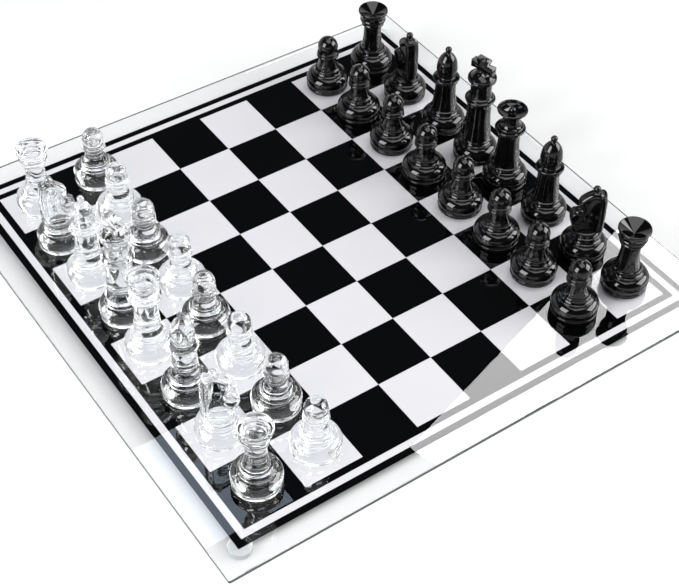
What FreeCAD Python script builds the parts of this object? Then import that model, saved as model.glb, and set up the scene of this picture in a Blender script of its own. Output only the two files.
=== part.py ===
import FreeCAD, Part
import math
import os
import Sketcher
from FreeCAD import Placement, Rotation, Vector

# Pressed-glass chess set on a float-glass board.
#
# Frame: millimetres, +Z up.  The origin is on the table, under the middle of
# the board.  +X runs along the ranks from the a-file side to the h-file side
# as seen by the clear player, +Y runs from the clear men to the black men.
#
# The board stands on four round feet.  The chequers and the border lines are
# two ink films on the underside of the glass.  The 32 men stand free on top.
# Every man is one pressed-glass solid turned about its own axis; the knights
# and the kings carry a slab shape on top of the turned stem.

doc = FreeCAD.newDocument("chess_set")

# ---------------------------------------------------------------------------
# Driving dimensions
# ---------------------------------------------------------------------------
sheet = doc.addObject("Spreadsheet::Sheet", "dims")
VALUE = {}
_row = [0]


def cell(alias, value):
    _row[0] += 1
    sheet.set("A%d" % _row[0], alias)
    sheet.set("B%d" % _row[0], repr(round(float(value), 4)))
    sheet.setAlias("B%d" % _row[0], alias)
    VALUE[alias] = round(float(value), 4)


# board, ink and feet
cell("board_side", 350.0)
cell("glass_thick", 3.0)
cell("glass_corner", 1.2)
cell("glass_arris", 0.35)
cell("square_pitch", 36.8)
cell("ink_gap", 0.04)
cell("ink_thick", 0.12)
cell("line_width", 4.4)
cell("foot_radius", 6.8)
cell("foot_height", 4.8)
cell("foot_round", 1.4)
cell("foot_reach", 158.5)

# Turned profiles.  Each vertex is a radius, a height above the board and the
# radius of the arc that leads to the next vertex: plus for an arc that bulges
# outwards, minus for one that is hollow, zero for a straight line.  An arc
# that ends on the axis is part of a ball, so its radius is only a guide.
BASE = [(0, 0, 0), (13.2, 0, 1.2), (14.1, 1.1, 0), (14.15, 2.5, 0.4),
        (13.7, 3.0, -0.5), (13.85, 3.6, 10.8), (14.4, 7.0, 5.6),
        (11.3, 11.9, 0), (10.8, 12.0, -0.3), (10.7, 12.3, 0.6),
        (10.2, 13.1, -2.5), (8.9, 14.6, 0)]
ROOK = [(9.0, 15.2, 0.8), (8.6, 16.2, 0), (7.6, 16.5, 0), (6.75, 20.5, 0),
        (6.25, 25.0, 0), (6.05, 30.0, 0), (6.2, 34.3, 0), (6.9, 34.6, 1.2),
        (7.3, 36.6, -0.5), (7.2, 37.2, 0), (7.8, 37.6, 1.8),
        (8.4, 40.4, -0.5), (8.3, 40.9, 0), (8.8, 41.3, 0), (9.15, 43.0, 0),
        (9.7, 44.6, 1.0), (9.9, 45.9, 0.6), (9.3, 46.4, 0), (8.6, 46.0, 0),
        (0, 41.6, 0)]
PAWN = [(8.7, 15.2, 0.8), (8.2, 16.0, 0), (7.3, 16.2, 0), (6.3, 18.8, 0),
        (5.8, 21.6, 0), (5.7, 24.4, 0), (6.6, 24.7, 1.0), (7.4, 25.9, 1.0),
        (6.7, 27.1, -0.5), (6.8, 27.6, 0.9), (6.3, 29.2, 0), (5.8, 29.5, 6.8),
        (0, 39.8, 0)]
BISHOP = [(9.4, 15.2, 0.8), (9.0, 16.2, 0), (8.4, 16.5, 0), (7.45, 23.5, 0),
          (6.95, 30.5, 0), (6.9, 36.6, 0), (7.7, 37.0, 0.9), (8.1, 38.0, 0),
          (8.8, 39.2, 0.9), (8.5, 40.4, 0), (6.6, 41.0, -0.8), (5.6, 42.0, 0),
          (5.9, 43.2, 9.0), (6.6, 49.7, 11.5), (2.1, 58.8, -1.0),
          (1.6, 59.9, 2.15), (0, 63.5, 0)]
QUEEN = [(9.8, 15.2, 0.8), (9.4, 16.2, 0), (8.7, 16.5, 0), (7.55, 24.5, 0),
         (6.9, 32.5, 0), (6.8, 40.2, 0), (7.9, 40.6, 0), (9.5, 43.1, 0.9),
         (9.2, 44.6, 0), (8.1, 45.0, 0.8), (7.7, 46.3, 0), (6.7, 46.9, -6.0),
         (5.5, 51.5, -5.0), (6.4, 54.8, 0), (9.0, 57.0, 1.0),
         (9.6, 57.8, 0.6), (9.2, 58.6, 0.5), (8.5, 58.4, 0), (7.9, 56.8, 0),
         (5.0, 55.7, 0), (1.9, 55.6, 0), (1.7, 55.9, 2.2), (0, 59.5, 0)]
KING = [(10.0, 15.2, 0.8), (9.6, 16.2, 0), (9.3, 16.5, 0), (8.4, 25.5, 0),
        (7.95, 34.5, 0), (7.9, 43.0, 0), (8.6, 43.4, 0), (9.6, 46.0, 0.9),
        (9.3, 47.4, 0), (8.3, 47.8, 0.9), (7.9, 49.1, 0), (7.2, 49.5, 0),
        (6.85, 52.0, 0), (6.8, 54.5, 0), (6.9, 57.4, 0), (7.4, 60.2, 0),
        (8.3, 60.8, 0.8), (8.9, 62.2, 0.8), (8.3, 63.6, 0), (7.4, 63.8, 11.2),
        (0, 66.6, 0)]
KNIGHT = [(9.0, 15.2, 0.8), (8.6, 16.2, 0), (8.0, 16.4, 0), (7.6, 18.0, 0),
          (0, 18.0, 0)]

PROFILE = {}
for kind, upper in (("rook", ROOK), ("knight", KNIGHT), ("bishop", BISHOP),
                    ("king", KING), ("queen", QUEEN), ("pawn", PAWN)):
    names = []
    for i, (r, z, arc) in enumerate(BASE + upper):
        if i < len(BASE):
            stem = "base_%02d" % i
        else:
            stem = "%s_%02d" % (kind, i - len(BASE) + 1)
        if stem + "_rad" not in VALUE:
            cell(stem + "_rad", r)
            cell(stem + "_high", z)
            if arc and (BASE + upper)[i + 1][0] > 0:
                cell(stem + "_curve", abs(arc))
        names.append((stem, r, z, arc))
    PROFILE[kind] = names

# knight's head: outline in the plane of the slab, forward from the axis and
# up from the board; the sketch starts head_datum behind the axis
HEAD = [(-7.4, 16.9), (-9.3, 18.6), (-10.0, 21.5), (-9.4, 38.5),
        (-8.5, 43.8), (-7.0, 46.8), (-4.8, 48.2), (-0.6, 48.5),
        (3.4, 46.2), (6.9, 43.0), (7.5, 41.2), (6.1, 38.0), (4.4, 35.3),
        (7.4, 35.0), (9.9, 33.0), (11.2, 30.0), (11.2, 26.8),
        (10.0, 23.4), (8.5, 20.4), (7.7, 16.9)]
cell("head_datum", 14.0)
cell("head_thick", 7.6)
cell("head_edge", 2.3)
for i, (u, z) in enumerate(HEAD):
    cell("head_%02d_fore" % i, u + 14.0)
    cell("head_%02d_high" % i, z)
cell("snout_fore", 7.0)
cell("snout_high", 29.3)
cell("snout_rad", 4.5)
cell("snout_wide", 8.8)
cell("poll_fore", -2.4)
cell("poll_high", 50.2)
cell("poll_rad", 2.3)

# king's cross: half outline across the bar and up from the board
CROSS = [(4.6, 65.2), (3.1, 69.0), (8.3, 68.2), (8.3, 73.5), (3.3, 72.8),
         (4.7, 76.8)]
cell("cross_thick", 5.2)
cell("cross_edge", 0.6)
for i, (u, z) in enumerate(CROSS):
    cell("cross_%02d_out" % i, u)
    cell("cross_%02d_high" % i, z)

# Men.  Every man stands on the middle of its square, apart from the small
# slip and turn that hand placing leaves.
RANK = ["rook", "knight", "bishop", "king", "queen", "bishop", "knight",
        "rook"]
SIDE = ["left", "left", "left", "", "", "right", "right", "right"]
# slip in X and Y (mm) and heading (degrees) of each man, file a to file h
SLIP = {
    ("clear", "back"): [(0.8, 1.2, 90), (1.1, -2.8, 76), (0.7, -1.9, 0),
                        (1.8, -0.1, 12), (-1.6, -1.8, 0), (0.8, -0.3, 0),
                        (-0.2, -0.4, 64), (1.7, -1.5, 0)],
    ("clear", "pawn"): [(-1.9, 6.0, 0), (-1.5, 2.5, 0), (-0.6, 0.1, 0),
                        (0.6, 2.9, 0), (-2.0, -1.1, 0), (-0.6, -1.0, 0),
                        (-0.3, -0.9, 0), (-0.1, 0.4, 0)],
    ("black", "pawn"): [(-0.9, -0.2, 0), (-0.2, -0.2, 0), (0.7, -0.2, 0),
                        (-0.2, -0.3, 0), (0.4, 0.2, 0), (-0.3, 0.3, 0),
                        (-1.2, 0.3, 0), (-0.8, 0.3, 0)],
    ("black", "back"): [(-3.1, 1.7, 0), (-0.4, 1.8, 170), (3.4, 3.5, 0),
                        (2.3, 2.6, 10), (-3.2, 2.1, 0), (-1.3, 2.3, 0),
                        (0.5, 1.4, 236), (-0.5, 2.9, 0)],
}
MEN = []
for colour in ("clear", "black"):
    for place in ("back", "pawn"):
        for f in range(8):
            dx, dy, turn = SLIP[(colour, place)][f]
            rank = {("clear", "back"): 0, ("clear", "pawn"): 1,
                    ("black", "pawn"): 6, ("black", "back"): 7}[(colour, place)]
            if place == "pawn":
                kind = "pawn"
                name = "%s_pawn_%d" % (colour, f + 1)
            else:
                kind = RANK[f]
                name = "%s_%s" % (colour, kind)
                if SIDE[f]:
                    name += "_" + SIDE[f]
            cell(name + "_dx", dx)
            cell(name + "_dy", dy)
            cell(name + "_turn", turn)
            MEN.append((name, kind, f, rank))

doc.recompute()


# ---------------------------------------------------------------------------
# Helpers
# ---------------------------------------------------------------------------
def origin_plane(body, role):
    for feature in body.Origin.OriginFeatures:
        if getattr(feature, "Role", "") == role:
            return feature
    raise RuntimeError("no " + role)


def new_body(label):
    body = doc.addObject("PartDesign::Body", label)
    body.Label = label
    return body


def new_sketch(body, name, role):
    sk = body.newObject("Sketcher::SketchObject", name)
    sk.AttachmentSupport = [(origin_plane(body, role), "")]
    sk.MapMode = "FlatFace"
    return sk


def bind(sk, kind, args, name, alias):
    index = sk.addConstraint(Sketcher.Constraint(kind, *args))
    sk.renameConstraint(index, name)
    sk.setExpression("Constraints." + name, "dims." + alias)


def arc_between(p0, p1, radius):
    """The circle through two points, its centre towards the axis for a
    bulging arc and away from it for a hollow one, as a counter-clockwise
    Sketcher arc."""
    dx, dz = p1[0] - p0[0], p1[1] - p0[1]
    chord = math.hypot(dx, dz)
    reach = abs(radius)
    if reach < chord / 2 * 1.0005:
        raise RuntimeError("arc too small between %s and %s" % (p0, p1))
    rise = math.sqrt(reach * reach - chord * chord / 4)
    side = 1 if radius > 0 else -1
    cx = (p0[0] + p1[0]) / 2 + side * (-dz / chord) * rise
    cz = (p0[1] + p1[1]) / 2 + side * (dx / chord) * rise
    a0 = math.atan2(p0[1] - cz, p0[0] - cx)
    a1 = math.atan2(p1[1] - cz, p1[0] - cx)
    if radius < 0:
        a0, a1 = a1, a0
    while a1 < a0:
        a1 += 2 * math.pi
    circle = Part.Circle(Vector(cx, cz, 0), Vector(0, 0, 1), reach)
    return Part.ArcOfCircle(circle, a0, a1)


def turned(body, kind):
    """Revolved stem of a man: the profile sketch stands on the XZ plane."""
    sk = new_sketch(body, "profile", "XZ_Plane")
    points = PROFILE[kind]
    geometry = []
    ends = []
    for (s0, r0, z0, arc), (s1, r1, z1, _a) in zip(points[:-1], points[1:]):
        if arc:
            if r1 == 0:
                arc = (r0 * r0 + (z1 - z0) ** 2) / (2 * (z1 - z0))
            geometry.append(arc_between((r0, z0), (r1, z1), arc))
            ends.append((1, 2) if arc > 0 else (2, 1))
        else:
            geometry.append(Part.LineSegment(Vector(r0, z0, 0),
                                             Vector(r1, z1, 0)))
            ends.append((1, 2))
    geometry.append(Part.LineSegment(Vector(0, points[-1][2], 0),
                                     Vector(0, 0, 0)))
    ends.append((1, 2))
    sk.addGeometry(geometry, False)
    n = len(geometry)
    joins = []
    for i in range(n):
        j = (i + 1) % n
        joins.append(Sketcher.Constraint("Coincident", i, ends[i][1],
                                         j, ends[j][0]))
    joins.append(Sketcher.Constraint("Coincident", 0, 1, -1, 1))
    sk.addConstraint(joins)
    for i in range(1, len(points)):
        stem, r, z, arc = points[i]
        where = (i, ends[i][0])
        if r > 0:
            bind(sk, "DistanceX", (-1, 1, where[0], where[1], r),
                 stem + "_rad", stem + "_rad")
        else:
            sk.addConstraint(Sketcher.Constraint("PointOnObject",
                                                 where[0], where[1], -2))
        if z > 0:
            bind(sk, "DistanceY", (-1, 1, where[0], where[1], z),
                 stem + "_high", stem + "_high")
        else:
            sk.addConstraint(Sketcher.Constraint("PointOnObject",
                                                 where[0], where[1], -1))
        if arc and points[i + 1][1] == 0:
            # a ball or dome: its centre is on the axis, so its radius
            # follows from its two ends
            sk.addConstraint(Sketcher.Constraint("PointOnObject", i, 3, -2))
        elif arc:
            bind(sk, "Radius", (i, abs(arc)), stem + "_curve",
                 stem + "_curve")
    turn = body.newObject("PartDesign::Revolution", "turned_form")
    turn.Profile = sk
    turn.ReferenceAxis = (sk, ["V_Axis"])
    turn.Angle = 360
    turn.Reversed = False
    return turn


def polygon(sk, points, aliases):
    """Closed outline; every corner is held by two cells of the sheet."""
    n = len(points)
    sk.addGeometry([Part.LineSegment(Vector(points[i][0], points[i][1], 0),
                                     Vector(points[(i + 1) % n][0],
                                            points[(i + 1) % n][1], 0))
                    for i in range(n)], False)
    sk.addConstraint([Sketcher.Constraint("Coincident", i, 2, (i + 1) % n, 1)
                      for i in range(n)])
    for i in range(n):
        bind(sk, "DistanceX", (-1, 1, i, 1, points[i][0]),
             "across_%02d" % i, aliases[i][0])
        bind(sk, "DistanceY", (-1, 1, i, 1, points[i][1]),
             "up_%02d" % i, aliases[i][1])


def knight_head(body):
    sk = new_sketch(body, "head_outline", "XZ_Plane")
    sk.AttachmentOffset = Placement(Vector(-VALUE["head_datum"], 0, 0),
                                    Rotation())
    sk.setExpression("AttachmentOffset.Base.x", "-dims.head_datum")
    pts = [(VALUE["head_%02d_fore" % i], VALUE["head_%02d_high" % i])
           for i in range(len(HEAD))]
    polygon(sk, pts, [("head_%02d_fore" % i, "head_%02d_high" % i)
                      for i in range(len(HEAD))])
    slab = body.newObject("PartDesign::Pad", "head_slab")
    slab.Profile = sk
    slab.Midplane = True
    slab.Length = VALUE["head_thick"]
    slab.setExpression("Length", "dims.head_thick")
    doc.recompute()

    # rounded rim all round the slab, clear of the corner where it meets the
    # turned stem
    half = VALUE["head_thick"] / 2
    names = []
    for i, edge in enumerate(slab.Shape.Edges):
        box = edge.BoundBox
        if box.YLength > 1e-4 or abs(abs(box.YMin) - half) > 1e-4:
            continue
        if box.ZMin < 19.5 or not edge.Curve.TypeId.endswith("GeomLine"):
            continue
        mid = edge.valueAt((edge.FirstParameter + edge.LastParameter) / 2)
        if mid.x > 3.0 and mid.z < 42.0:
            continue
        names.append("Edge%d" % (i + 1))
    rim = body.newObject("PartDesign::Chamfer", "head_rim")
    rim.Base = (slab, names)
    rim.Size = VALUE["head_edge"] * 0.55
    rim.setExpression("Size", "dims.head_edge * 0.55")
    doc.recompute()

    sk = new_sketch(body, "snout_outline", "XZ_Plane")
    sk.addGeometry(Part.Circle(Vector(VALUE["snout_fore"],
                                      VALUE["snout_high"], 0),
                               Vector(0, 0, 1), VALUE["snout_rad"]), False)
    bind(sk, "DistanceX", (-1, 1, 0, 3, VALUE["snout_fore"]), "scroll_fore",
         "snout_fore")
    bind(sk, "DistanceY", (-1, 1, 0, 3, VALUE["snout_high"]), "scroll_high",
         "snout_high")
    bind(sk, "Radius", (0, VALUE["snout_rad"]), "scroll_radius", "snout_rad")
    barrel = body.newObject("PartDesign::Pad", "snout_scroll")
    barrel.Profile = sk
    barrel.Midplane = True
    barrel.Length = VALUE["snout_wide"]
    barrel.setExpression("Length", "dims.snout_wide")
    doc.recompute()

    ball = body.newObject("PartDesign::AdditiveSphere", "poll_ball")
    ball.Radius = VALUE["poll_rad"]
    ball.setExpression("Radius", "dims.poll_rad")
    ball.AttachmentSupport = [(origin_plane(body, "XY_Plane"), "")]
    ball.MapMode = "FlatFace"
    ball.AttachmentOffset = Placement(Vector(VALUE["poll_fore"], 0,
                                             VALUE["poll_high"]), Rotation())
    ball.setExpression("AttachmentOffset.Base.x", "dims.poll_fore")
    ball.setExpression("AttachmentOffset.Base.z", "dims.poll_high")


def king_cross(body):
    """Thick cross whose arms widen outwards, drawn as one half and
    mirrored about the axis."""
    sk = new_sketch(body, "cross_outline", "XZ_Plane")
    n = len(CROSS)
    right = [(VALUE["cross_%02d_out" % i], VALUE["cross_%02d_high" % i])
             for i in range(n)]
    outline = right + [(-x, z) for x, z in reversed(right)]
    m = len(outline)
    sk.addGeometry([Part.LineSegment(Vector(outline[i][0], outline[i][1], 0),
                                     Vector(outline[(i + 1) % m][0],
                                            outline[(i + 1) % m][1], 0))
                    for i in range(m)], False)
    sk.addConstraint([Sketcher.Constraint("Coincident", i, 2, (i + 1) % m, 1)
                      for i in range(m)])
    for i in range(n):
        bind(sk, "DistanceX", (-1, 1, i, 1, right[i][0]), "out_%02d" % i,
             "cross_%02d_out" % i)
        bind(sk, "DistanceY", (-1, 1, i, 1, right[i][1]), "up_%02d" % i,
             "cross_%02d_high" % i)
        sk.addConstraint(Sketcher.Constraint("Symmetric", i, 1, m - 1 - i, 1,
                                             -2))
    slab = body.newObject("PartDesign::Pad", "cross_slab")
    slab.Profile = sk
    slab.Midplane = True
    slab.Length = VALUE["cross_thick"]
    slab.setExpression("Length", "dims.cross_thick")
    doc.recompute()
    half = VALUE["cross_thick"] / 2
    names = []
    for i, edge in enumerate(slab.Shape.Edges):
        box = edge.BoundBox
        if box.YLength > 1e-4 or abs(abs(box.YMin) - half) > 1e-4:
            continue
        if box.ZMin < 68.5 or not edge.Curve.TypeId.endswith("GeomLine"):
            continue
        names.append("Edge%d" % (i + 1))
    rim = body.newObject("PartDesign::Chamfer", "cross_rim")
    rim.Base = (slab, names)
    rim.Size = VALUE["cross_edge"]
    rim.setExpression("Size", "dims.cross_edge")


# ---------------------------------------------------------------------------
# Glass board: a plain sheet with ground arrises
# ---------------------------------------------------------------------------
glass = new_body("glass_board")
sk = new_sketch(glass, "sheet_outline", "XY_Plane")
half = VALUE["board_side"] / 2
corners = [(-half, -half), (half, -half), (half, half), (-half, half)]
sk.addGeometry([Part.LineSegment(Vector(corners[i][0], corners[i][1], 0),
                                 Vector(corners[(i + 1) % 4][0],
                                        corners[(i + 1) % 4][1], 0))
                for i in range(4)], False)
sk.addConstraint([Sketcher.Constraint("Coincident", i, 2, (i + 1) % 4, 1)
                  for i in range(4)])
sk.addConstraint([Sketcher.Constraint("Horizontal", 0),
                  Sketcher.Constraint("Horizontal", 2),
                  Sketcher.Constraint("Vertical", 1),
                  Sketcher.Constraint("Vertical", 3),
                  Sketcher.Constraint("Symmetric", 0, 1, 2, 1, -1, 1)])
bind(sk, "DistanceX", (0, 1, 0, 2, 2 * half), "side_x", "board_side")
bind(sk, "DistanceY", (1, 1, 1, 2, 2 * half), "side_y", "board_side")
pad = glass.newObject("PartDesign::Pad", "sheet")
pad.Profile = sk
pad.Length = VALUE["glass_thick"]
pad.setExpression("Length", "dims.glass_thick")
doc.recompute()
upright = []
for i, edge in enumerate(pad.Shape.Edges):
    box = edge.BoundBox
    if box.XLength < 1e-4 and box.YLength < 1e-4:
        upright.append("Edge%d" % (i + 1))
corner = glass.newObject("PartDesign::Fillet", "corner_round")
corner.Base = (pad, upright)
corner.Radius = VALUE["glass_corner"]
corner.setExpression("Radius", "dims.glass_corner")
doc.recompute()
rims = []
for i, edge in enumerate(corner.Shape.Edges):
    if edge.BoundBox.ZLength < 1e-4:
        rims.append("Edge%d" % (i + 1))
arris = glass.newObject("PartDesign::Chamfer", "arris")
arris.Base = (corner, rims)
arris.Size = VALUE["glass_arris"]
arris.setExpression("Size", "dims.glass_arris")
glass.setExpression("Placement.Base.z", "dims.foot_height")

# ---------------------------------------------------------------------------
# Ink: black chequers with two black border lines, and the white chequers
# with the white line between the black ones, both on the underside
# ---------------------------------------------------------------------------
INK_Z = "dims.foot_height - dims.ink_thick"


def ink_tile(name, f, r):
    tile = doc.addObject("Part::Box", name)
    for prop in ("Length", "Width"):
        tile.setExpression(prop, "dims.square_pitch - dims.ink_gap")
    tile.setExpression("Height", "dims.ink_thick")
    tile.setExpression("Placement.Base.x",
                       "dims.square_pitch * %d + dims.ink_gap / 2" % (f - 4))
    tile.setExpression("Placement.Base.y",
                       "dims.square_pitch * %d + dims.ink_gap / 2" % (r - 4))
    tile.setExpression("Placement.Base.z", INK_Z)
    return tile


def ink_line(name, step):
    """Square ring, the step-th line outwards from the chequers."""
    solids = []
    for which, edge in (("outer", step + 1), ("inner", step)):
        box = doc.addObject("Part::Box", "%s_%s" % (name, which))
        gap = "+ dims.ink_gap / 2" if which == "inner" else "- dims.ink_gap / 2"
        reach = "(dims.square_pitch * 4 + dims.line_width * %d %s)" % (edge,
                                                                       gap)
        for prop in ("Length", "Width"):
            box.setExpression(prop, reach + " * 2")
        if which == "outer":
            box.setExpression("Height", "dims.ink_thick")
            box.setExpression("Placement.Base.z", INK_Z)
        else:
            box.setExpression("Height", "dims.ink_thick * 3")
            box.setExpression("Placement.Base.z", INK_Z + " - dims.ink_thick")
        box.setExpression("Placement.Base.x", "-1 * " + reach)
        box.setExpression("Placement.Base.y", "-1 * " + reach)
        solids.append(box)
    ring = doc.addObject("Part::Cut", name)
    ring.Base, ring.Tool = solids
    return ring


def ink_film(label, parity, steps):
    pieces = [ink_tile("%s_tile_%d%d" % (label, f, r), f, r)
              for f in range(8) for r in range(8) if (f + r) % 2 == parity]
    pieces += [ink_line("%s_line_%d" % (label, step), step) for step in steps]
    film = doc.addObject("Part::MultiFuse", label)
    film.Label = label
    film.Shapes = pieces
    return film


black_print = ink_film("black_print", 1, (0, 2))
white_print = ink_film("white_print", 0, (1,))

# ---------------------------------------------------------------------------
# Four round feet with a softened lower rim, stuck on over the corners of the
# outer black line
# ---------------------------------------------------------------------------
feet = []
for label, sx, sy in (("foot_clear_left", -1, -1), ("foot_clear_right", 1, -1),
                      ("foot_black_left", -1, 1), ("foot_black_right", 1, 1)):
    foot = new_body(label)
    sk = new_sketch(foot, "foot_outline", "XY_Plane")
    sk.addGeometry(Part.Circle(Vector(0, 0, 0), Vector(0, 0, 1),
                               VALUE["foot_radius"]), False)
    sk.addConstraint(Sketcher.Constraint("Coincident", 0, 3, -1, 1))
    bind(sk, "Radius", (0, VALUE["foot_radius"]), "disc_radius", "foot_radius")
    pad = foot.newObject("PartDesign::Pad", "foot_disc")
    pad.Profile = sk
    pad.Length = VALUE["foot_height"] - VALUE["ink_thick"]
    pad.setExpression("Length", "dims.foot_height - dims.ink_thick")
    doc.recompute()
    low = [i for i, e in enumerate(pad.Shape.Edges)
           if e.BoundBox.ZMax < 1e-4]
    rim = foot.newObject("PartDesign::Fillet", "foot_rim")
    rim.Base = (pad, ["Edge%d" % (low[0] + 1)])
    rim.Radius = VALUE["foot_round"]
    rim.setExpression("Radius", "dims.foot_round")
    foot.setExpression("Placement.Base.x", "%d * dims.foot_reach" % sx)
    foot.setExpression("Placement.Base.y", "%d * dims.foot_reach" % sy)
    feet.append(foot)

# ---------------------------------------------------------------------------
# The men
# ---------------------------------------------------------------------------
bodies = []
for name, kind, f, rank in MEN:
    body = new_body(name)
    turned(body, kind)
    if kind == "knight":
        knight_head(body)
    elif kind == "king":
        king_cross(body)
    body.setExpression("Placement.Base.x",
                       "dims.square_pitch * %.1f + dims.%s_dx"
                       % (f - 3.5, name))
    body.setExpression("Placement.Base.y",
                       "dims.square_pitch * %.1f + dims.%s_dy"
                       % (rank - 3.5, name))
    body.setExpression("Placement.Base.z",
                       "dims.foot_height + dims.glass_thick")
    if VALUE[name + "_turn"]:
        body.Placement.Rotation = Rotation(Vector(0, 0, 1),
                                           VALUE[name + "_turn"])
        body.setExpression("Placement.Rotation.Angle",
                           "dims.%s_turn" % name)
    bodies.append(body)

doc.recompute()

# ---------------------------------------------------------------------------
# Nothing is written until every object is sound
# ---------------------------------------------------------------------------
for item in doc.Objects:
    for word in ("Invalid", "Error"):
        if word in item.State:
            raise RuntimeError("%s is %s" % (item.Label, item.State))

for name, kind, f, rank in MEN:
    body = doc.getObject(name)
    place = body.Placement
    want = Vector(VALUE["square_pitch"] * (f - 3.5) + VALUE[name + "_dx"],
                  VALUE["square_pitch"] * (rank - 3.5) + VALUE[name + "_dy"],
                  VALUE["foot_height"] + VALUE["glass_thick"])
    if (place.Base - want).Length > 1e-6:
        raise RuntimeError("%s stands at %s" % (name, place.Base))
    ahead = place.Rotation.multVec(Vector(1, 0, 0))
    turn = math.radians(VALUE[name + "_turn"])
    if (ahead - Vector(math.cos(turn), math.sin(turn), 0)).Length > 1e-6:
        raise RuntimeError("%s faces %s" % (name, ahead))

nodes = [glass, black_print, white_print] + feet + bodies
for node in nodes:
    shape = node.Shape
    if shape.isNull() or not shape.isValid() or not shape.Solids:
        raise RuntimeError("%s has no sound solid" % node.Label)

os.makedirs("parts", exist_ok=True)
for node in nodes:
    node.Shape.exportStep("parts/%s.step" % node.Label)
    print("%-22s %8.2f mm3 %2d solid(s)  z %7.2f to %7.2f"
          % (node.Label, node.Shape.Volume, len(node.Shape.Solids),
             node.Shape.BoundBox.ZMin, node.Shape.BoundBox.ZMax))
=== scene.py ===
import bpy
import bmesh
import math
import random
from mathutils import Matrix, Vector


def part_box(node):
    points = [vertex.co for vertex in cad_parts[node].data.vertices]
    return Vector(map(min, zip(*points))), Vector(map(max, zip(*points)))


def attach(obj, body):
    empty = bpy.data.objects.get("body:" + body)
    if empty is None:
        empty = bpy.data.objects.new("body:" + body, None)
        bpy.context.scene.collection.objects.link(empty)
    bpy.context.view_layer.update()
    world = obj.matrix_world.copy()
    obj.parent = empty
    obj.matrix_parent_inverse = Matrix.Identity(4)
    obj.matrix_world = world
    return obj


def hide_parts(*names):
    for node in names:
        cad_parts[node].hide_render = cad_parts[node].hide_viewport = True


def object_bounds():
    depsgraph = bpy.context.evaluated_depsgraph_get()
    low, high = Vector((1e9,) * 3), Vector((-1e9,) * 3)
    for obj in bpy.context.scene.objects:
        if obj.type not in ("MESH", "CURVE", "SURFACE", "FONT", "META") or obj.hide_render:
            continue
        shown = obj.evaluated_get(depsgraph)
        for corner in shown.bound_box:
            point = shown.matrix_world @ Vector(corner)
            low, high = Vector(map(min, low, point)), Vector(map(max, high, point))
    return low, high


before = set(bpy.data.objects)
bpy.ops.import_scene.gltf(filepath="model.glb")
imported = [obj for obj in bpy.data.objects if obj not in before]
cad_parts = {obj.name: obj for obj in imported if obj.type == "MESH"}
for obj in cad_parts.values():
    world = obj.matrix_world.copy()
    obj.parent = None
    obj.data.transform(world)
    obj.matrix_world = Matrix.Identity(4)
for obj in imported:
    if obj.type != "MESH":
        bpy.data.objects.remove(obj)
CAD_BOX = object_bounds()
MM = 0.001
scene = bpy.context.scene


# ---------------------------------------------------------------------------
# Node helpers
# ---------------------------------------------------------------------------
def new_material(name):
    mat = bpy.data.materials.new(name)
    mat.use_nodes = True
    mat.node_tree.nodes.clear()
    return mat, mat.node_tree.nodes, mat.node_tree.links


def noise(nodes, links, scale, detail=3.0, rough=0.5, coord=None, dims="3D"):
    tex = nodes.new("ShaderNodeTexNoise")
    tex.noise_dimensions = dims
    tex.inputs["Scale"].default_value = scale
    tex.inputs["Detail"].default_value = detail
    tex.inputs["Roughness"].default_value = rough
    if coord is not None:
        links.new(coord, tex.inputs["Vector"])
    return tex


def ramp(nodes, links, source, lo, hi, c0, c1):
    node = nodes.new("ShaderNodeValToRGB")
    node.color_ramp.elements[0].position = lo
    node.color_ramp.elements[1].position = hi
    node.color_ramp.elements[0].color = tuple(c0) + (1,) if len(c0) == 3 else c0
    node.color_ramp.elements[1].color = tuple(c1) + (1,) if len(c1) == 3 else c1
    links.new(source, node.inputs["Fac"])
    return node


def grey_range(nodes, links, source, lo, hi, v0, v1):
    node = nodes.new("ShaderNodeMapRange")
    node.inputs["From Min"].default_value = lo
    node.inputs["From Max"].default_value = hi
    node.inputs["To Min"].default_value = v0
    node.inputs["To Max"].default_value = v1
    links.new(source, node.inputs["Value"])
    return node.outputs["Result"]


def bump(nodes, links, height, strength, distance, below=None):
    node = nodes.new("ShaderNodeBump")
    node.inputs["Strength"].default_value = strength
    node.inputs["Distance"].default_value = distance
    links.new(height, node.inputs["Height"])
    if below is not None:
        links.new(below, node.inputs["Normal"])
    return node.outputs["Normal"]


def see_through_shadow(nodes, links, shader, tint):
    """Glass that lets light fall through it onto what lies below."""
    path = nodes.new("ShaderNodeLightPath")
    clear = nodes.new("ShaderNodeBsdfTransparent")
    clear.inputs["Color"].default_value = tint + (1,)
    either = nodes.new("ShaderNodeMath")
    either.operation = "MAXIMUM"
    links.new(path.outputs["Is Shadow Ray"], either.inputs[0])
    links.new(path.outputs["Is Diffuse Ray"], either.inputs[1])
    mix = nodes.new("ShaderNodeMixShader")
    links.new(either.outputs["Value"], mix.inputs["Fac"])
    links.new(shader, mix.inputs[1])
    links.new(clear.outputs["BSDF"], mix.inputs[2])
    return mix.outputs["Shader"]


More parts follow.
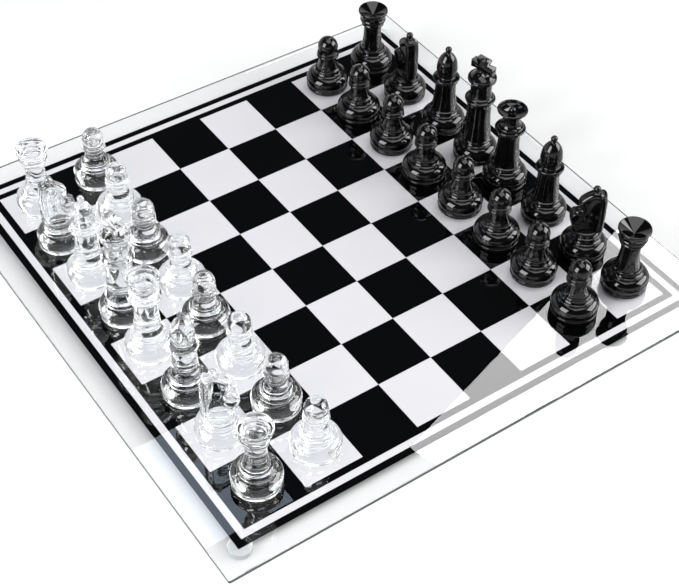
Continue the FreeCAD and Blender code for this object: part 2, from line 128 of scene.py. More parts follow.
# ---------------------------------------------------------------------------
# Materials
# ---------------------------------------------------------------------------
def clear_glass():
    mat, nodes, links = new_material("clear_pressed_glass")
    coord = nodes.new("ShaderNodeTexCoord").outputs["Object"]
    shader = nodes.new("ShaderNodeBsdfPrincipled")
    shader.inputs["Transmission Weight"].default_value = 1.0
    shader.inputs["IOR"].default_value = 1.5
    wave = noise(nodes, links, 120.0, 2.0, 0.45, coord)
    tone = ramp(nodes, links, wave.outputs["Fac"], 0.3, 0.7,
                (0.935, 0.952, 0.955), (0.960, 0.975, 0.975))
    links.new(tone.outputs["Color"], shader.inputs["Base Color"])
    haze = noise(nodes, links, 900.0, 4.0, 0.6, coord)
    links.new(grey_range(nodes, links, haze.outputs["Fac"], 0.55, 0.85,
                         0.0, 0.02), shader.inputs["Roughness"])
    ripple = noise(nodes, links, 150.0, 1.0, 0.4, coord)
    links.new(bump(nodes, links, ripple.outputs["Fac"], 0.10, 0.00006),
              shader.inputs["Normal"])
    out = nodes.new("ShaderNodeOutputMaterial")
    links.new(see_through_shadow(nodes, links, shader.outputs["BSDF"],
                                 (0.93, 0.94, 0.945)),
              out.inputs["Surface"])
    return mat


def contact_glass():
    """Middle of the underside of a clear man, where it shows the square."""
    mat, nodes, links = new_material("clear_glass_underside")
    coord = nodes.new("ShaderNodeTexCoord").outputs["Object"]
    clear = nodes.new("ShaderNodeBsdfTransparent")
    cloud = noise(nodes, links, 200.0, 2.0, 0.5, coord)
    tone = ramp(nodes, links, cloud.outputs["Fac"], 0.3, 0.7,
                (0.95, 0.96, 0.965), (0.98, 0.985, 0.985))
    links.new(tone.outputs["Color"], clear.inputs["Color"])
    out = nodes.new("ShaderNodeOutputMaterial")
    links.new(clear.outputs["BSDF"], out.inputs["Surface"])
    return mat


def black_glass():
    mat, nodes, links = new_material("black_pressed_glass")
    coord = nodes.new("ShaderNodeTexCoord").outputs["Object"]
    shader = nodes.new("ShaderNodeBsdfPrincipled")
    shader.inputs["IOR"].default_value = 1.52
    shader.inputs["Specular IOR Level"].default_value = 0.36
    cloud = noise(nodes, links, 90.0, 3.0, 0.5, coord)
    tone = ramp(nodes, links, cloud.outputs["Fac"], 0.35, 0.7,
                (0.0010, 0.0010, 0.0012), (0.0018, 0.0018, 0.0020))
    links.new(tone.outputs["Color"], shader.inputs["Base Color"])
    smear = noise(nodes, links, 420.0, 4.0, 0.62, coord)
    links.new(grey_range(nodes, links, smear.outputs["Fac"], 0.5, 0.8,
                         0.015, 0.07), shader.inputs["Roughness"])
    ripple = noise(nodes, links, 150.0, 1.0, 0.4, coord)
    links.new(bump(nodes, links, ripple.outputs["Fac"], 0.12, 0.00008),
              shader.inputs["Normal"])
    out = nodes.new("ShaderNodeOutputMaterial")
    links.new(shader.outputs["BSDF"], out.inputs["Surface"])
    return mat


def board_glass():
    """Polished float glass with a ground and seamed rim that shows the
    green of the body colour."""
    mat, nodes, links = new_material("float_glass")
    coord = nodes.new("ShaderNodeTexCoord").outputs["Object"]
    face = nodes.new("ShaderNodeBsdfPrincipled")
    face.inputs["Transmission Weight"].default_value = 1.0
    face.inputs["IOR"].default_value = 1.52
    drift = noise(nodes, links, 6.0, 2.0, 0.5, coord)
    tone = ramp(nodes, links, drift.outputs["Fac"], 0.3, 0.7,
                (0.985, 0.990, 0.992), (0.990, 0.995, 0.997))
    links.new(tone.outputs["Color"], face.inputs["Base Color"])
    smear = noise(nodes, links, 30.0, 5.0, 0.65, coord)
    links.new(grey_range(nodes, links, smear.outputs["Fac"], 0.6, 0.85,
                         0.0, 0.012), face.inputs["Roughness"])

    rim = nodes.new("ShaderNodeBsdfPrincipled")
    grind = noise(nodes, links, 2500.0, 4.0, 0.7, coord)
    rim_tone = ramp(nodes, links, grind.outputs["Fac"], 0.3, 0.75,
                    (0.018, 0.026, 0.023), (0.045, 0.058, 0.053))
    links.new(rim_tone.outputs["Color"], rim.inputs["Base Color"])
    rim.inputs["Roughness"].default_value = 0.28
    rim.inputs["IOR"].default_value = 1.52
    links.new(bump(nodes, links, grind.outputs["Fac"], 0.2, 0.0001),
              rim.inputs["Normal"])

    geo = nodes.new("ShaderNodeNewGeometry")
    split = nodes.new("ShaderNodeSeparateXYZ")
    links.new(geo.outputs["Normal"], split.inputs["Vector"])
    up = nodes.new("ShaderNodeMath")
    up.operation = "ABSOLUTE"
    links.new(split.outputs["Z"], up.inputs[0])
    edge = nodes.new("ShaderNodeMath")
    edge.operation = "LESS_THAN"
    edge.inputs[1].default_value = 0.5
    links.new(up.outputs["Value"], edge.inputs[0])
    mix = nodes.new("ShaderNodeMixShader")
    links.new(edge.outputs["Value"], mix.inputs["Fac"])
    links.new(face.outputs["BSDF"], mix.inputs[1])
    links.new(rim.outputs["BSDF"], mix.inputs[2])
    out = nodes.new("ShaderNodeOutputMaterial")
    links.new(see_through_shadow(nodes, links, mix.outputs["Shader"],
                                 (0.99, 0.993, 0.995)), out.inputs["Surface"])
    return mat


def ink(name, low, high, rough):
    mat, nodes, links = new_material(name)
    coord = nodes.new("ShaderNodeTexCoord").outputs["Object"]
    shader = nodes.new("ShaderNodeBsdfPrincipled")
    cloud = noise(nodes, links, 14.0, 4.0, 0.55, coord)
    tone = ramp(nodes, links, cloud.outputs["Fac"], 0.3, 0.75, low, high)
    links.new(tone.outputs["Color"], shader.inputs["Base Color"])
    grain = noise(nodes, links, 1800.0, 3.0, 0.6, coord)
    links.new(grey_range(nodes, links, grain.outputs["Fac"], 0.3, 0.8,
                         rough, rough + 0.15), shader.inputs["Roughness"])
    links.new(bump(nodes, links, grain.outputs["Fac"], 0.1, 0.00005),
              shader.inputs["Normal"])
    shader.inputs["Specular IOR Level"].default_value = 0.0
    out = nodes.new("ShaderNodeOutputMaterial")
    links.new(shader.outputs["BSDF"], out.inputs["Surface"])
    return mat


def bumper():
    mat, nodes, links = new_material("soft_clear_bumper")
    coord = nodes.new("ShaderNodeTexCoord").outputs["Object"]
    shader = nodes.new("ShaderNodeBsdfPrincipled")
    shader.inputs["Transmission Weight"].default_value = 0.75
    shader.inputs["IOR"].default_value = 1.47
    cloud = noise(nodes, links, 300.0, 3.0, 0.5, coord)
    tone = ramp(nodes, links, cloud.outputs["Fac"], 0.3, 0.75,
                (0.74, 0.77, 0.77), (0.84, 0.86, 0.86))
    links.new(tone.outputs["Color"], shader.inputs["Base Color"])
    links.new(grey_range(nodes, links, cloud.outputs["Fac"], 0.3, 0.8,
                         0.12, 0.3), shader.inputs["Roughness"])
    links.new(bump(nodes, links, cloud.outputs["Fac"], 0.2, 0.0002),
              shader.inputs["Normal"])
    out = nodes.new("ShaderNodeOutputMaterial")
    links.new(see_through_shadow(nodes, links, shader.outputs["BSDF"],
                                 (0.8, 0.82, 0.82)), out.inputs["Surface"])
    return mat


MAT = {"clear": clear_glass(), "contact": contact_glass(),
       "black": black_glass(), "board": board_glass(), "bumper": bumper(),
       "black_ink": ink("black_ink_under_glass", (0.0005, 0.0006, 0.0007),
                        (0.0009, 0.0010, 0.0011), 0.5),
       "white_ink": ink("white_ink_under_glass", (0.438, 0.431, 0.449),
                        (0.450, 0.443, 0.461), 0.5)}


# ---------------------------------------------------------------------------
# Turned glass: profile vertices in millimetres, as in the frame's solids.
# Third number: radius of the arc to the next vertex, plus bulging, minus
# hollow.  Small corners are softened, because pressed glass is fire polished.
# ---------------------------------------------------------------------------
BASE = [(13.2, 0.05, 1.2), (14.1, 1.1, 0), (14.15, 2.5, 0.4),
        (13.7, 3.0, -0.5), (13.85, 3.6, 10.8), (14.4, 7.0, 5.6),
        (11.3, 11.9, 0), (10.8, 12.0, -0.3), (10.7, 12.3, 0.6),
        (10.2, 13.1, -2.5), (8.9, 14.6, 0)]
UPPER = {
    "rook": [(9.0, 15.2, 0.8), (8.6, 16.2, 0), (7.6, 16.5, -50),
             (6.2, 34.3, 0), (6.9, 34.6, 1.2), (7.3, 36.6, -0.5),
             (7.2, 37.2, 0), (7.8, 37.6, 1.8), (8.4, 40.4, -0.5),
             (8.3, 40.9, 0), (8.8, 41.3, -20), (9.7, 44.6, 1.0),
             (9.9, 45.9, 0.6), (9.3, 46.4, 0), (8.6, 46.0, 0),
             (0.9, 41.95, 0), (0, 41.75, 0)],
    "pawn": [(8.7, 15.2, 0.8), (8.2, 16.0, 0), (7.3, 16.2, -20),
             (5.7, 24.4, 0), (6.6, 24.7, 1.0), (7.4, 25.9, 1.0),
             (6.7, 27.1, -0.5), (6.8, 27.6, 0.9), (6.3, 29.2, 0),
             (5.8, 29.5, 6.783), (0, 39.8, 0)],
    "bishop": [(9.4, 15.2, 0.8), (9.0, 16.2, 0), (8.4, 16.5, -90),
               (6.9, 36.6, 0), (7.7, 37.0, 0.9), (8.1, 38.0, 0),
               (8.8, 39.2, 0.9), (8.5, 40.4, 0), (6.6, 41.0, -0.8),
               (5.6, 42.0, 0), (5.9, 43.2, 9.0), (6.6, 49.7, 11.5),
               (2.1, 58.8, -1.0), (1.6, 59.9, 2.156), (0, 63.5, 0)],
    "queen": [(9.8, 15.2, 0.8), (9.4, 16.2, 0), (8.7, 16.5, -120),
              (6.8, 40.2, 0), (7.9, 40.6, 0), (9.5, 43.1, 0.9),
              (9.2, 44.6, 0), (8.1, 45.0, 0.8), (7.7, 46.3, 0),
              (6.7, 46.9, -6.0), (5.5, 51.5, -5.0), (6.4, 54.8, 0),
              (9.0, 57.0, 1.0), (9.6, 57.8, 0.6), (9.2, 58.6, 0.5),
              (8.5, 58.4, 0), (7.9, 56.8, -20), (1.9, 55.6, 0),
              (1.7, 55.9, 2.201), (0, 59.5, 0)],
    "king": [(10.0, 15.2, 0.8), (9.6, 16.2, 0), (9.3, 16.5, -150),
             (7.9, 43.0, 0), (8.6, 43.4, 0), (9.6, 46.0, 0.9),
             (9.3, 47.4, 0), (8.3, 47.8, 0.9), (7.9, 49.1, 0),
             (7.2, 49.5, -16), (6.8, 54.5, -16), (7.4, 60.2, 0),
             (8.3, 60.8, 0.8), (8.9, 62.2, 0.8), (8.3, 63.6, 0),
             (7.4, 63.8, 11.179), (0, 66.6, 0)],
    "knight": [(9.0, 15.2, 0.8), (8.6, 16.2, 0), (8.0, 16.4, 0),
               (7.6, 18.0, 0), (0, 18.0, 0)],
}


def flatten(profile, step=0.22):
    """Profile with arcs as a run of points."""
    pts = []
    for k in range(len(profile) - 1):
        r0, z0, arc = profile[k]
        r1, z1 = profile[k + 1][:2]
        chord = math.hypot(r1 - r0, z1 - z0)
        if not arc:
            pts.append((r0, z0))
            continue
        reach = max(abs(arc), chord / 2 * 1.0001)
        rise = math.sqrt(reach * reach - chord * chord / 4)
        side = 1 if arc > 0 else -1
        cx = (r0 + r1) / 2 + side * -(z1 - z0) / chord * rise
        cz = (z0 + z1) / 2 + side * (r1 - r0) / chord * rise
        a0 = math.atan2(z0 - cz, r0 - cx)
        a1 = math.atan2(z1 - cz, r1 - cx)
        if side > 0:
            while a1 < a0:
                a1 += 2 * math.pi
        else:
            while a1 > a0:
                a1 -= 2 * math.pi
        n = max(3, int(math.ceil(abs(a1 - a0) * reach / max(step, reach * 0.06))))
        for i in range(n):
            a = a0 + (a1 - a0) * i / n
            pts.append((cx + reach * math.cos(a), cz + reach * math.sin(a)))
    pts.append(profile[-1][:2])
    return pts


def soften(pts, radius=0.28, limit=math.radians(14)):
    """Rounds each sharp corner of a run of points with a short curve."""
    out = [pts[0]]
    for i in range(1, len(pts) - 1):
        a, b, c = Vector(pts[i - 1]), Vector(pts[i]), Vector(pts[i + 1])
        u, v = b - a, c - b
        if u.length < 1e-6 or v.length < 1e-6:
            continue
        turn = u.angle_signed(v, 0)
        if abs(turn) < limit:
            out.append(pts[i])
            continue
        cut = min(radius * math.tan(abs(turn) / 2), u.length * 0.48,
                  v.length * 0.48)
        p = b - u.normalized() * cut
        q = b + v.normalized() * cut
        for t in (0.0, 0.25, 0.5, 0.75, 1.0):
            w = p * (1 - t) ** 2 + b * 2 * t * (1 - t) + q * t * t
            out.append((w.x, w.y))
    out.append(pts[-1])
    return out


SEGMENTS = 112


def turned_mesh(name, kind, segments=SEGMENTS):
    """Closed surface of revolution, its foot a little hollow so that only a
    ring stands on the board."""
    profile = soften(flatten(BASE + UPPER[kind]))
    under = [(0.0, 0.55), (5.6, 0.51), (9.0, 0.45), (11.2, 0.3),
             (12.0, 0.06)]
    run = under + profile
    bm = bmesh.new()
    rings = []
    for r, z in run:
        if r < 1e-6:
            rings.append([bm.verts.new((0, 0, z * MM))])
        else:
            rings.append([bm.verts.new((r * MM * math.cos(2 * math.pi * k / segments),
                                        r * MM * math.sin(2 * math.pi * k / segments),
                                        z * MM)) for k in range(segments)])
    for lo, hi in zip(rings[:-1], rings[1:]):
        for k in range(segments):
            j = (k + 1) % segments
            if len(lo) == 1 and len(hi) == 1:
                continue
            if len(lo) == 1:
                bm.faces.new((lo[0], hi[j], hi[k]))
            elif len(hi) == 1:
                bm.faces.new((lo[k], lo[j], hi[0]))
            else:
                bm.faces.new((lo[k], lo[j], hi[j], hi[k]))
    bmesh.ops.recalc_face_normals(bm, faces=bm.faces)
    for f in bm.faces:
        f.smooth = True
    mesh = bpy.data.meshes.new(name)
    bm.to_mesh(mesh)
    bm.free()
    return mesh


def plate(outline, half, bevel, name, segments=4):
    """Closed plate: an outline in X and Z (mm) with a rounded rim, half its
    thickness each side of the XZ plane."""
    bm = bmesh.new()
    front = [bm.verts.new((x * MM, -half * MM, z * MM)) for x, z in outline]
    back = [bm.verts.new((x * MM, half * MM, z * MM)) for x, z in outline]
    bm.faces.new(front)
    bm.faces.new(list(reversed(back)))
    n = len(outline)
    for i in range(n):
        j = (i + 1) % n
        bm.faces.new((front[j], front[i], back[i], back[j]))
    bmesh.ops.recalc_face_normals(bm, faces=bm.faces)
    if bevel:
        rim = [e for e in bm.edges
               if abs(e.verts[0].co.y - e.verts[1].co.y) < 1e-9]
        bmesh.ops.bevel(bm, geom=rim, offset=bevel * MM, segments=segments,
                        profile=0.5, affect="EDGES", clamp_overlap=True)
    mesh = bpy.data.meshes.new(name)
    bm.to_mesh(mesh)
    bm.free()
    return mesh


def add_object(name, mesh):
    obj = bpy.data.objects.new(name, mesh)
    scene.collection.objects.link(obj)
    return obj


def apply_modifiers(obj):
    graph = bpy.context.evaluated_depsgraph_get()
    mesh = bpy.data.meshes.new_from_object(obj.evaluated_get(graph))
    obj.modifiers.clear()
    obj.data = mesh
    return mesh


def join_meshes(meshes, name):
    """One mesh of several closed shells, for a voxel remesh to weld."""
    bm = bmesh.new()
    for mesh in meshes:
        bm.from_mesh(mesh)
    out = bpy.data.meshes.new(name)
    bm.to_mesh(out)
    bm.free()
    return out


def weld(mesh, voxel, rounds, name, factor=0.5):
    """Voxel-welded and smoothed copy of a mesh of overlapping shells."""
    tmp = add_object(name, mesh)
    mod = tmp.modifiers.new("weld", "REMESH")
    mod.mode = "VOXEL"
    mod.voxel_size = voxel * MM
    mod.use_smooth_shade = True
    if rounds:
        ease = tmp.modifiers.new("ease", "SMOOTH")
        ease.factor = factor
        ease.iterations = rounds
    out = apply_modifiers(tmp)
    bpy.data.objects.remove(tmp)
    out.name = name
    return out


def unite(mesh_a, mesh_b, name):
    a, b = add_object(name + "_a", mesh_a), add_object(name + "_b", mesh_b)
    mod = a.modifiers.new("join", "BOOLEAN")
    mod.operation = "UNION"
    mod.solver = "MANIFOLD"
    mod.object = b
    out = apply_modifiers(a)
    bpy.data.objects.remove(a)
    bpy.data.objects.remove(b)
    out.name = name
    for poly in out.polygons:
        poly.use_smooth = True
    return out


def sphere(name, centre, radius, stretch=(1, 1, 1), u=32, v=20):
    bm = bmesh.new()
    bmesh.ops.create_uvsphere(bm, u_segments=u, v_segments=v,
                              radius=radius * MM)
    for vert in bm.verts:
        vert.co = Vector((vert.co.x * stretch[0] + centre[0] * MM,
                          vert.co.y * stretch[1] + centre[1] * MM,
                          vert.co.z * stretch[2] + centre[2] * MM))
    mesh = bpy.data.meshes.new(name)
    bm.to_mesh(mesh)
    bm.free()
    return mesh


def tube(name, path, radii, sides=16):
    """Closed round rope along a run of points (mm)."""
    bm = bmesh.new()
    rings = []
    n = len(path)
    for i, (p, r) in enumerate(zip(path, radii)):
        a = Vector(path[max(0, i - 1)])
        b = Vector(path[min(n - 1, i + 1)])
        ahead = (b - a).normalized()
        side = ahead.cross(Vector((0, 1, 0)))
        if side.length < 1e-3:
            side = ahead.cross(Vector((1, 0, 0)))
        side.normalize()
        top = side.cross(ahead).normalized()
        rings.append([bm.verts.new((Vector(p) + side * r * math.cos(t)
                                    + top * r * math.sin(t)) * MM)
                      for t in [2 * math.pi * k / sides for k in range(sides)]])
    for lo, hi in zip(rings[:-1], rings[1:]):
        for k in range(sides):
            j = (k + 1) % sides
            bm.faces.new((lo[k], lo[j], hi[j], hi[k]))
    bm.faces.new(rings[0])
    bm.faces.new(list(reversed(rings[-1])))
    bmesh.ops.recalc_face_normals(bm, faces=bm.faces)
    mesh = bpy.data.meshes.new(name)
    bm.to_mesh(mesh)
    bm.free()
    return mesh


def smooth_closed(points, rounds=2):
    """Corner-cutting on a closed outline."""
    for _ in range(rounds):
        new = []
        n = len(points)
        for i in range(n):
            a, b = points[i], points[(i + 1) % n]
            new.append((a[0] * 0.75 + b[0] * 0.25, a[1] * 0.75 + b[1] * 0.25))
            new.append((a[0] * 0.25 + b[0] * 0.75, a[1] * 0.25 + b[1] * 0.75))
        points = new
    return points


# ---------------------------------------------------------------------------
# Knight: a rounded slab with a barrel nose, a poll ball and a thick mane
# ---------------------------------------------------------------------------
def inset(points, reach):
    """Closed outline drawn in by a distance, without its crossed loops."""
    n = len(points)
    area = sum(points[i][0] * points[(i + 1) % n][1]
               - points[(i + 1) % n][0] * points[i][1] for i in range(n))
    side = 1 if area > 0 else -1
    kept = []
    for i in range(n):
        a, b = Vector(points[i - 1]), Vector(points[(i + 1) % n])
        run = (b - a).normalized()
        p = Vector(points[i]) + side * Vector((-run.y, run.x)) * reach
        near = 1e9
        for k in range(n):
            c, d = Vector(points[k]), Vector(points[(k + 1) % n])
            e = d - c
            t = max(0, min(1, (p - c).dot(e) / max(e.length_squared, 1e-12)))
            near = min(near, (p - c - e * t).length)
        if near > reach * 0.97:
            kept.append((p.x, p.y))
    return kept


def knight_mesh():
    head = [(-7.0, 15.6), (-9.2, 18.4), (-9.9, 21.5), (-9.6, 30.0),
            (-9.3, 38.5), (-8.6, 43.4), (-7.1, 46.6), (-4.8, 48.1),
            (-0.9, 48.3), (3.2, 45.8), (6.6, 42.6), (7.4, 40.6),
            (6.3, 37.8), (4.4, 35.4), (7.2, 35.1), (9.9, 33.0),
            (11.2, 30.0), (11.2, 26.8), (10.0, 23.3), (8.5, 20.0),
            (7.4, 15.6)]
    core = inset(smooth_closed(head, 2), 2.5)
    parts = [plate(core, 3.7, 0, "knight_slab")]
    for side in (-1, 1):
        loop = [(x, side * 1.2, z) for x, z in core + core[:2]]
        parts.append(tube("knight_rim", loop, [2.5] * len(loop), 24))
    # nose: a roll across the slab
    barrel = [(6.9 + 4.35 * math.cos(t), 29.2 + 4.35 * math.sin(t))
              for t in [2 * math.pi * k / 24 for k in range(24)]]
    parts.append(plate(barrel, 4.3, 1.0, "knight_nose", 5))
    # cheek
    parts.append(sphere("knight_cheek", (-0.4, 0, 30.5), 6.4,
                        (1.0, 0.64, 1.2), 48, 32))
    # poll ball
    parts.append(sphere("knight_poll", (-2.4, 0, 50.2), 2.3))
    parts.append(tube("knight_neck_of_ball", [(-2.5, 0, 46.5), (-2.4, 0, 49.6)],
                      [1.6, 1.35]))
    # eyes
    for side in (-1, 1):
        parts.append(sphere("knight_eye", (3.1, side * 3.2, 40.2), 1.1,
                            (1.2, 0.7, 0.8), 20, 12))
    # mane: a thick smooth roll down the back
    path, radii = [], []
    n = 31
    for i in range(n):
        t = i / (n - 1)
        z = 46.4 - t * 27.8
        x = -6.3 - 0.75 * min(1, t * 6) - 0.5 * t - 0.35 * math.sin(math.pi * t)
        path.append((x, 0, z))
        radii.append(2.6)
    rope = tube("knight_mane", path, radii, 32)
    for v in rope.vertices:
        v.co.y *= 1.72
    parts.append(rope)
    welded = weld(join_meshes(parts, "knight_parts"), 0.28, 8, "knight_head")
    return unite(turned_mesh("knight_stem", "knight"), welded, "knight_form")


# ---------------------------------------------------------------------------
# King's cross: thick arms that widen outwards
# ---------------------------------------------------------------------------
def king_mesh():
    right = [(4.6, 64.8), (3.1, 69.0), (8.3, 68.2), (8.3, 73.5),
             (3.3, 72.8), (4.7, 76.8)]
    outline = right + [(-x, z) for x, z in reversed(right)]
    cross = plate(outline, 2.6, 0.4, "cross_plate", 4)
    return unite(turned_mesh("king_stem", "king"), cross, "king_form")


FORM = {kind: turned_mesh(kind + "_form", kind)
        for kind in ("rook", "pawn", "bishop", "queen")}
FORM["king"] = king_mesh()
FORM["knight"] = knight_mesh()

HEADING = {"clear_knight_left": 76, "clear_knight_right": 64,
           "black_knight_left": 170, "black_knight_right": 236,
           "clear_king": 12, "black_king": 10}

rng = random.Random(7)
copies = {}
for colour in ("clear", "black"):
    for kind, mesh in FORM.items():
        copy = mesh.copy()
        copy.name = "%s_%s_form" % (colour, kind)
        copy.materials.clear()
        copy.materials.append(MAT[colour])
        if colour == "clear":
            copy.materials.append(MAT["contact"])
            for poly in copy.polygons:
                centre = poly.center
                if (centre.z < 0.00065 and poly.normal.z < -0.7
                        and math.hypot(centre.x, centre.y) < 0.0056):
                    poly.material_index = 1
        copies[(colour, kind)] = copy

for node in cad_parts:
    colour, _, rest = node.partition("_")
    kind = rest.split("_")[0]
    if (colour, kind) not in copies:
        continue
    low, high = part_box(node)
    man = add_object(node + "_glass", copies[(colour, kind)])
    turn = HEADING.get(node, rng.uniform(0, 360))
    man.location = ((low[0] + high[0]) / 2, (low[1] + high[1]) / 2, low[2])
    man.rotation_euler = (0, 0, math.radians(turn))
    bpy.context.view_layer.update()
    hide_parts(node)
    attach(man, node + "_man")


# ---------------------------------------------------------------------------
# Ink: squares and border lines set into the underside of the glass
# ---------------------------------------------------------------------------
board_low, board_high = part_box("glass_board")
ink_low, ink_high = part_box("black_print")
pitch = ((ink_high[0] - ink_low[0]) / 2 + 0.00002 - 3 * 0.0044) / 4
line = 0.0044
ink_bottom = ink_low[2] + 0.00002
ink_top = board_low[2] + 0.00004


def slab_rect(bm, x0, y0, x1, y1):
    verts = [bm.verts.new((x, y, z)) for z in (ink_bottom, ink_top)
             for x, y in ((x0, y0), (x1, y0), (x1, y1), (x0, y1))]
    for quad in ((3, 2, 1, 0), (4, 5, 6, 7), (0, 1, 5, 4), (1, 2, 6, 5),
                 (2, 3, 7, 6), (3, 0, 4, 7)):
        bm.faces.new([verts[i] for i in quad])


def print_piece(name, parity, rings):
    bm = bmesh.new()
    for f in range(8):
        for r in range(8):
            if (f + r) % 2 == parity:
                slab_rect(bm, (f - 4) * pitch, (r - 4) * pitch,
                          (f - 3) * pitch, (r - 3) * pitch)
    for k in rings:
        a, b = 4 * pitch + k * line, 4 * pitch + (k + 1) * line
        slab_rect(bm, -b, -b, b, -a)
        slab_rect(bm, -b, a, b, b)
        slab_rect(bm, -b, -a, -a, a)
        slab_rect(bm, a, -a, b, a)
    mesh = bpy.data.meshes.new(name)
    bm.to_mesh(mesh)
    bm.free()
    return add_object(name, mesh)


for name, parity, rings in (("black", 1, (0, 2)), ("white", 0, (1,))):
    film = print_piece(name + "_ink_film", parity, rings)
    film.data.materials.append(MAT[name + "_ink"])
    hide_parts(name + "_print")
    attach(film, "board")

for node, key in (("glass_board", "board"), ("foot_clear_left", "bumper"),
                  ("foot_clear_right", "bumper"),
                  ("foot_black_left", "bumper"),
                  ("foot_black_right", "bumper")):
    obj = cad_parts[node]
    obj.data.materials.clear()
    obj.data.materials.append(MAT[key])


# ---------------------------------------------------------------------------
# Floor, light and camera
# ---------------------------------------------------------------------------
def floor_material():
    mat, nodes, links = new_material("studio_paper")
    coord = nodes.new("ShaderNodeTexCoord").outputs["Object"]
    shader = nodes.new("ShaderNodeBsdfPrincipled")
    grain = noise(nodes, links, 3.0, 3.0, 0.5, coord)
    tone = ramp(nodes, links, grain.outputs["Fac"], 0.3, 0.7,
                (0.505, 0.505, 0.505), (0.515, 0.515, 0.515))
    links.new(tone.outputs["Color"], shader.inputs["Base Color"])
    shader.inputs["Roughness"].default_value = 0.9
    shader.inputs["Specular IOR Level"].default_value = 0.05
    out = nodes.new("ShaderNodeOutputMaterial")
    links.new(shader.outputs["BSDF"], out.inputs["Surface"])
    return mat


bm = bmesh.new()
bmesh.ops.create_grid(bm, x_segments=8, y_segments=8, size=1.4)
floor_mesh = bpy.data.meshes.new("studio_floor")
bm.to_mesh(floor_mesh)
bm.free()
floor = add_object("studio_floor", floor_mesh)
floor.location = (0, 0, CAD_BOX[0][2])
floor_mesh.materials.append(floor_material())

# The room: white paper low down all round and higher up behind the board,
# dim overhead, so that the black men and the black squares keep their depth.
world = bpy.data.worlds.new("studio")
world.use_nodes = True
nodes, links = world.node_tree.nodes, world.node_tree.links
nodes.clear()
coord = nodes.new("ShaderNodeTexCoord")
split = nodes.new("ShaderNodeSeparateXYZ")
links.new(coord.outputs["Generated"], split.inputs["Vector"])
behind = nodes.new("ShaderNodeVectorMath")
behind.operation = "DOT_PRODUCT"
behind.inputs[1].default_value = (-0.81, 0.58, 0.0)
links.new(coord.outputs["Generated"], behind.inputs[0])
side = grey_range(nodes, links, behind.outputs["Value"], -0.25, 0.25, 0, 1)
low = grey_range(nodes, links, split.outputs["Z"], 0.44, 0.56, 1, 0)
both = nodes.new("ShaderNodeMath")
both.operation = "MULTIPLY"
links.new(side, both.inputs[0])
links.new(low, both.inputs[1])
skirt = grey_range(nodes, links, split.outputs["Z"], 0.10, 0.26, 0.85, 0)
most = nodes.new("ShaderNodeMath")
most.operation = "MAXIMUM"
links.new(both.outputs["Value"], most.inputs[0])
links.new(skirt, most.inputs[1])
dim = nodes.new("ShaderNodeBackground")
dim.inputs["Color"].default_value = (0.90, 0.95, 1.0, 1)
dim.inputs["Strength"].default_value = 0.05
paper = nodes.new("ShaderNodeBackground")
paper.inputs["Color"].default_value = (1, 1, 1, 1)
paper.inputs["Strength"].default_value = 1.0
room = nodes.new("ShaderNodeMixShader")
links.new(most.outputs["Value"], room.inputs["Fac"])
links.new(dim.outputs["Background"], room.inputs[1])
links.new(paper.outputs["Background"], room.inputs[2])
bright = nodes.new("ShaderNodeBackground")
bright.inputs["Color"].default_value = (1, 1, 1, 1)
bright.inputs["Strength"].default_value = 1.0
path = nodes.new("ShaderNodeLightPath")
mix = nodes.new("ShaderNodeMixShader")
out = nodes.new("ShaderNodeOutputWorld")
seen = nodes.new("ShaderNodeMath")
seen.operation = "MAXIMUM"
links.new(path.outputs["Is Camera Ray"], seen.inputs[0])
overhead = grey_range(nodes, links, split.outputs["Z"], 0.34, 0.76, 0.94, 0.36)
through = nodes.new("ShaderNodeMath")
through.operation = "MULTIPLY"
links.new(path.outputs["Is Transmission Ray"], through.inputs[0])
links.new(overhead, through.inputs[1])
links.new(through.outputs["Value"], seen.inputs[1])
links.new(seen.outputs["Value"], mix.inputs["Fac"])
links.new(room.outputs["Shader"], mix.inputs[1])
links.new(bright.outputs["Background"], mix.inputs[2])
links.new(mix.outputs["Shader"], out.inputs["Surface"])
scene.world = world


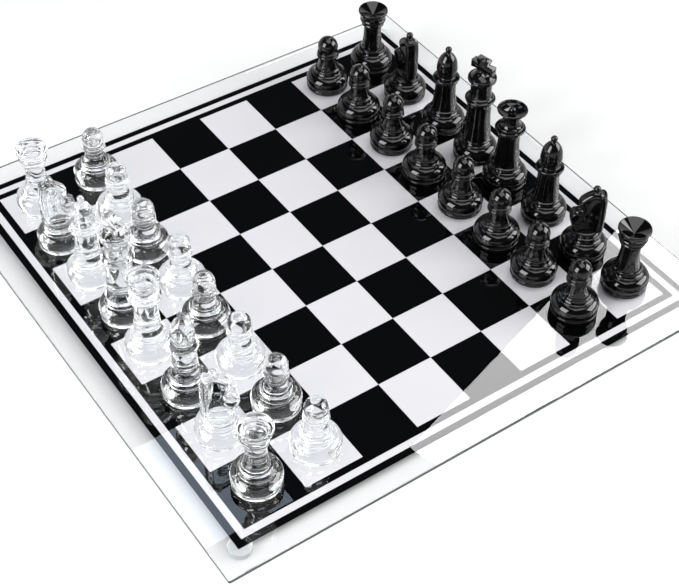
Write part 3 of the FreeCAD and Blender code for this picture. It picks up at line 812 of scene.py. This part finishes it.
def softbox(name, centre, normal, along, size, size_y, radiance,
            colour=(1, 1, 1)):
    """Rectangular light facing along its normal; radiance is relative to
    white paper, so its power follows from its area."""
    lamp = bpy.data.lights.new(name, "AREA")
    lamp.shape = "RECTANGLE"
    lamp.size = size
    lamp.size_y = size_y
    lamp.energy = radiance * size * size_y * math.pi
    lamp.color = colour
    obj = bpy.data.objects.new(name, lamp)
    scene.collection.objects.link(obj)
    z = -Vector(normal).normalized()
    x = (Vector(along) - z * Vector(along).dot(z)).normalized()
    y = z.cross(x)
    obj.matrix_world = Matrix(((x.x, y.x, z.x, centre[0]),
                               (x.y, y.y, z.y, centre[1]),
                               (x.z, y.z, z.z, centre[2]),
                               (0, 0, 0, 1)))
    return obj


# behind and above, mirrored in the right-hand corner of the glass
edge_a, edge_b = Vector((-0.740, 0.712, 1.5)), Vector((-0.889, 1.183, 1.5))
run = (edge_b - edge_a).normalized()
across = Vector((run.y, -run.x, 0))
softbox("rear_softbox", edge_a + run * 0.47 + across * 0.15, (0, 0, -1),
        across, 0.30, 0.94, 9.0)
# a dimmer, cooler patch mirrored in the near left corner
softbox("left_patch", (-0.89, 0.22, 1.5), (0, 0, -1), (1, 0, 0), 0.26, 0.50,
        3.3, (0.68, 0.80, 1.0))
softbox("left_softbox", (0.10, -2.08, 1.14), (-0.04, 0.87, -0.47), (1, 0, 0),
        1.35, 1.75, 11.5)
softbox("right_softbox", (1.26, 1.84, 1.14), (-0.507, -0.733, -0.45),
        (0.82, -0.57, 0), 2.0, 1.6, 9.5)
softbox("top_softbox", (0.35, 0.30, 2.6), (0, 0, -1), (1, 0, 0), 2.1, 2.1,
        3.4)

az, el, roll = (math.radians(a) for a in (54.3637, 45.8713, 1.4690))
back = Vector((math.sin(az) * math.cos(el), -math.cos(az) * math.cos(el),
               math.sin(el)))
right = Vector((0, 0, 1)).cross(back).normalized()
up = back.cross(right)
c, s = math.cos(roll), math.sin(roll)
right, up = right * c + up * s, up * c - right * s
camera_data = bpy.data.cameras.new("camera")
camera_data.sensor_fit = "HORIZONTAL"
camera_data.sensor_width = 36.0
camera_data.lens = 1457.6241 / 679 * 36.0
camera_data.clip_start = 0.05
camera_data.clip_end = 50
camera = bpy.data.objects.new("camera", camera_data)
scene.collection.objects.link(camera)
place = Vector((14.4619, -9.9936, 16.9729)) * 0.0368 + Vector((0, 0, 0.0062))
camera.matrix_world = Matrix(((right.x, up.x, back.x, place.x),
                              (right.y, up.y, back.y, place.y),
                              (right.z, up.z, back.z, place.z),
                              (0, 0, 0, 1)))
scene.camera = camera
scene.view_settings.view_transform = "Standard"
scene.view_settings.look = "None"
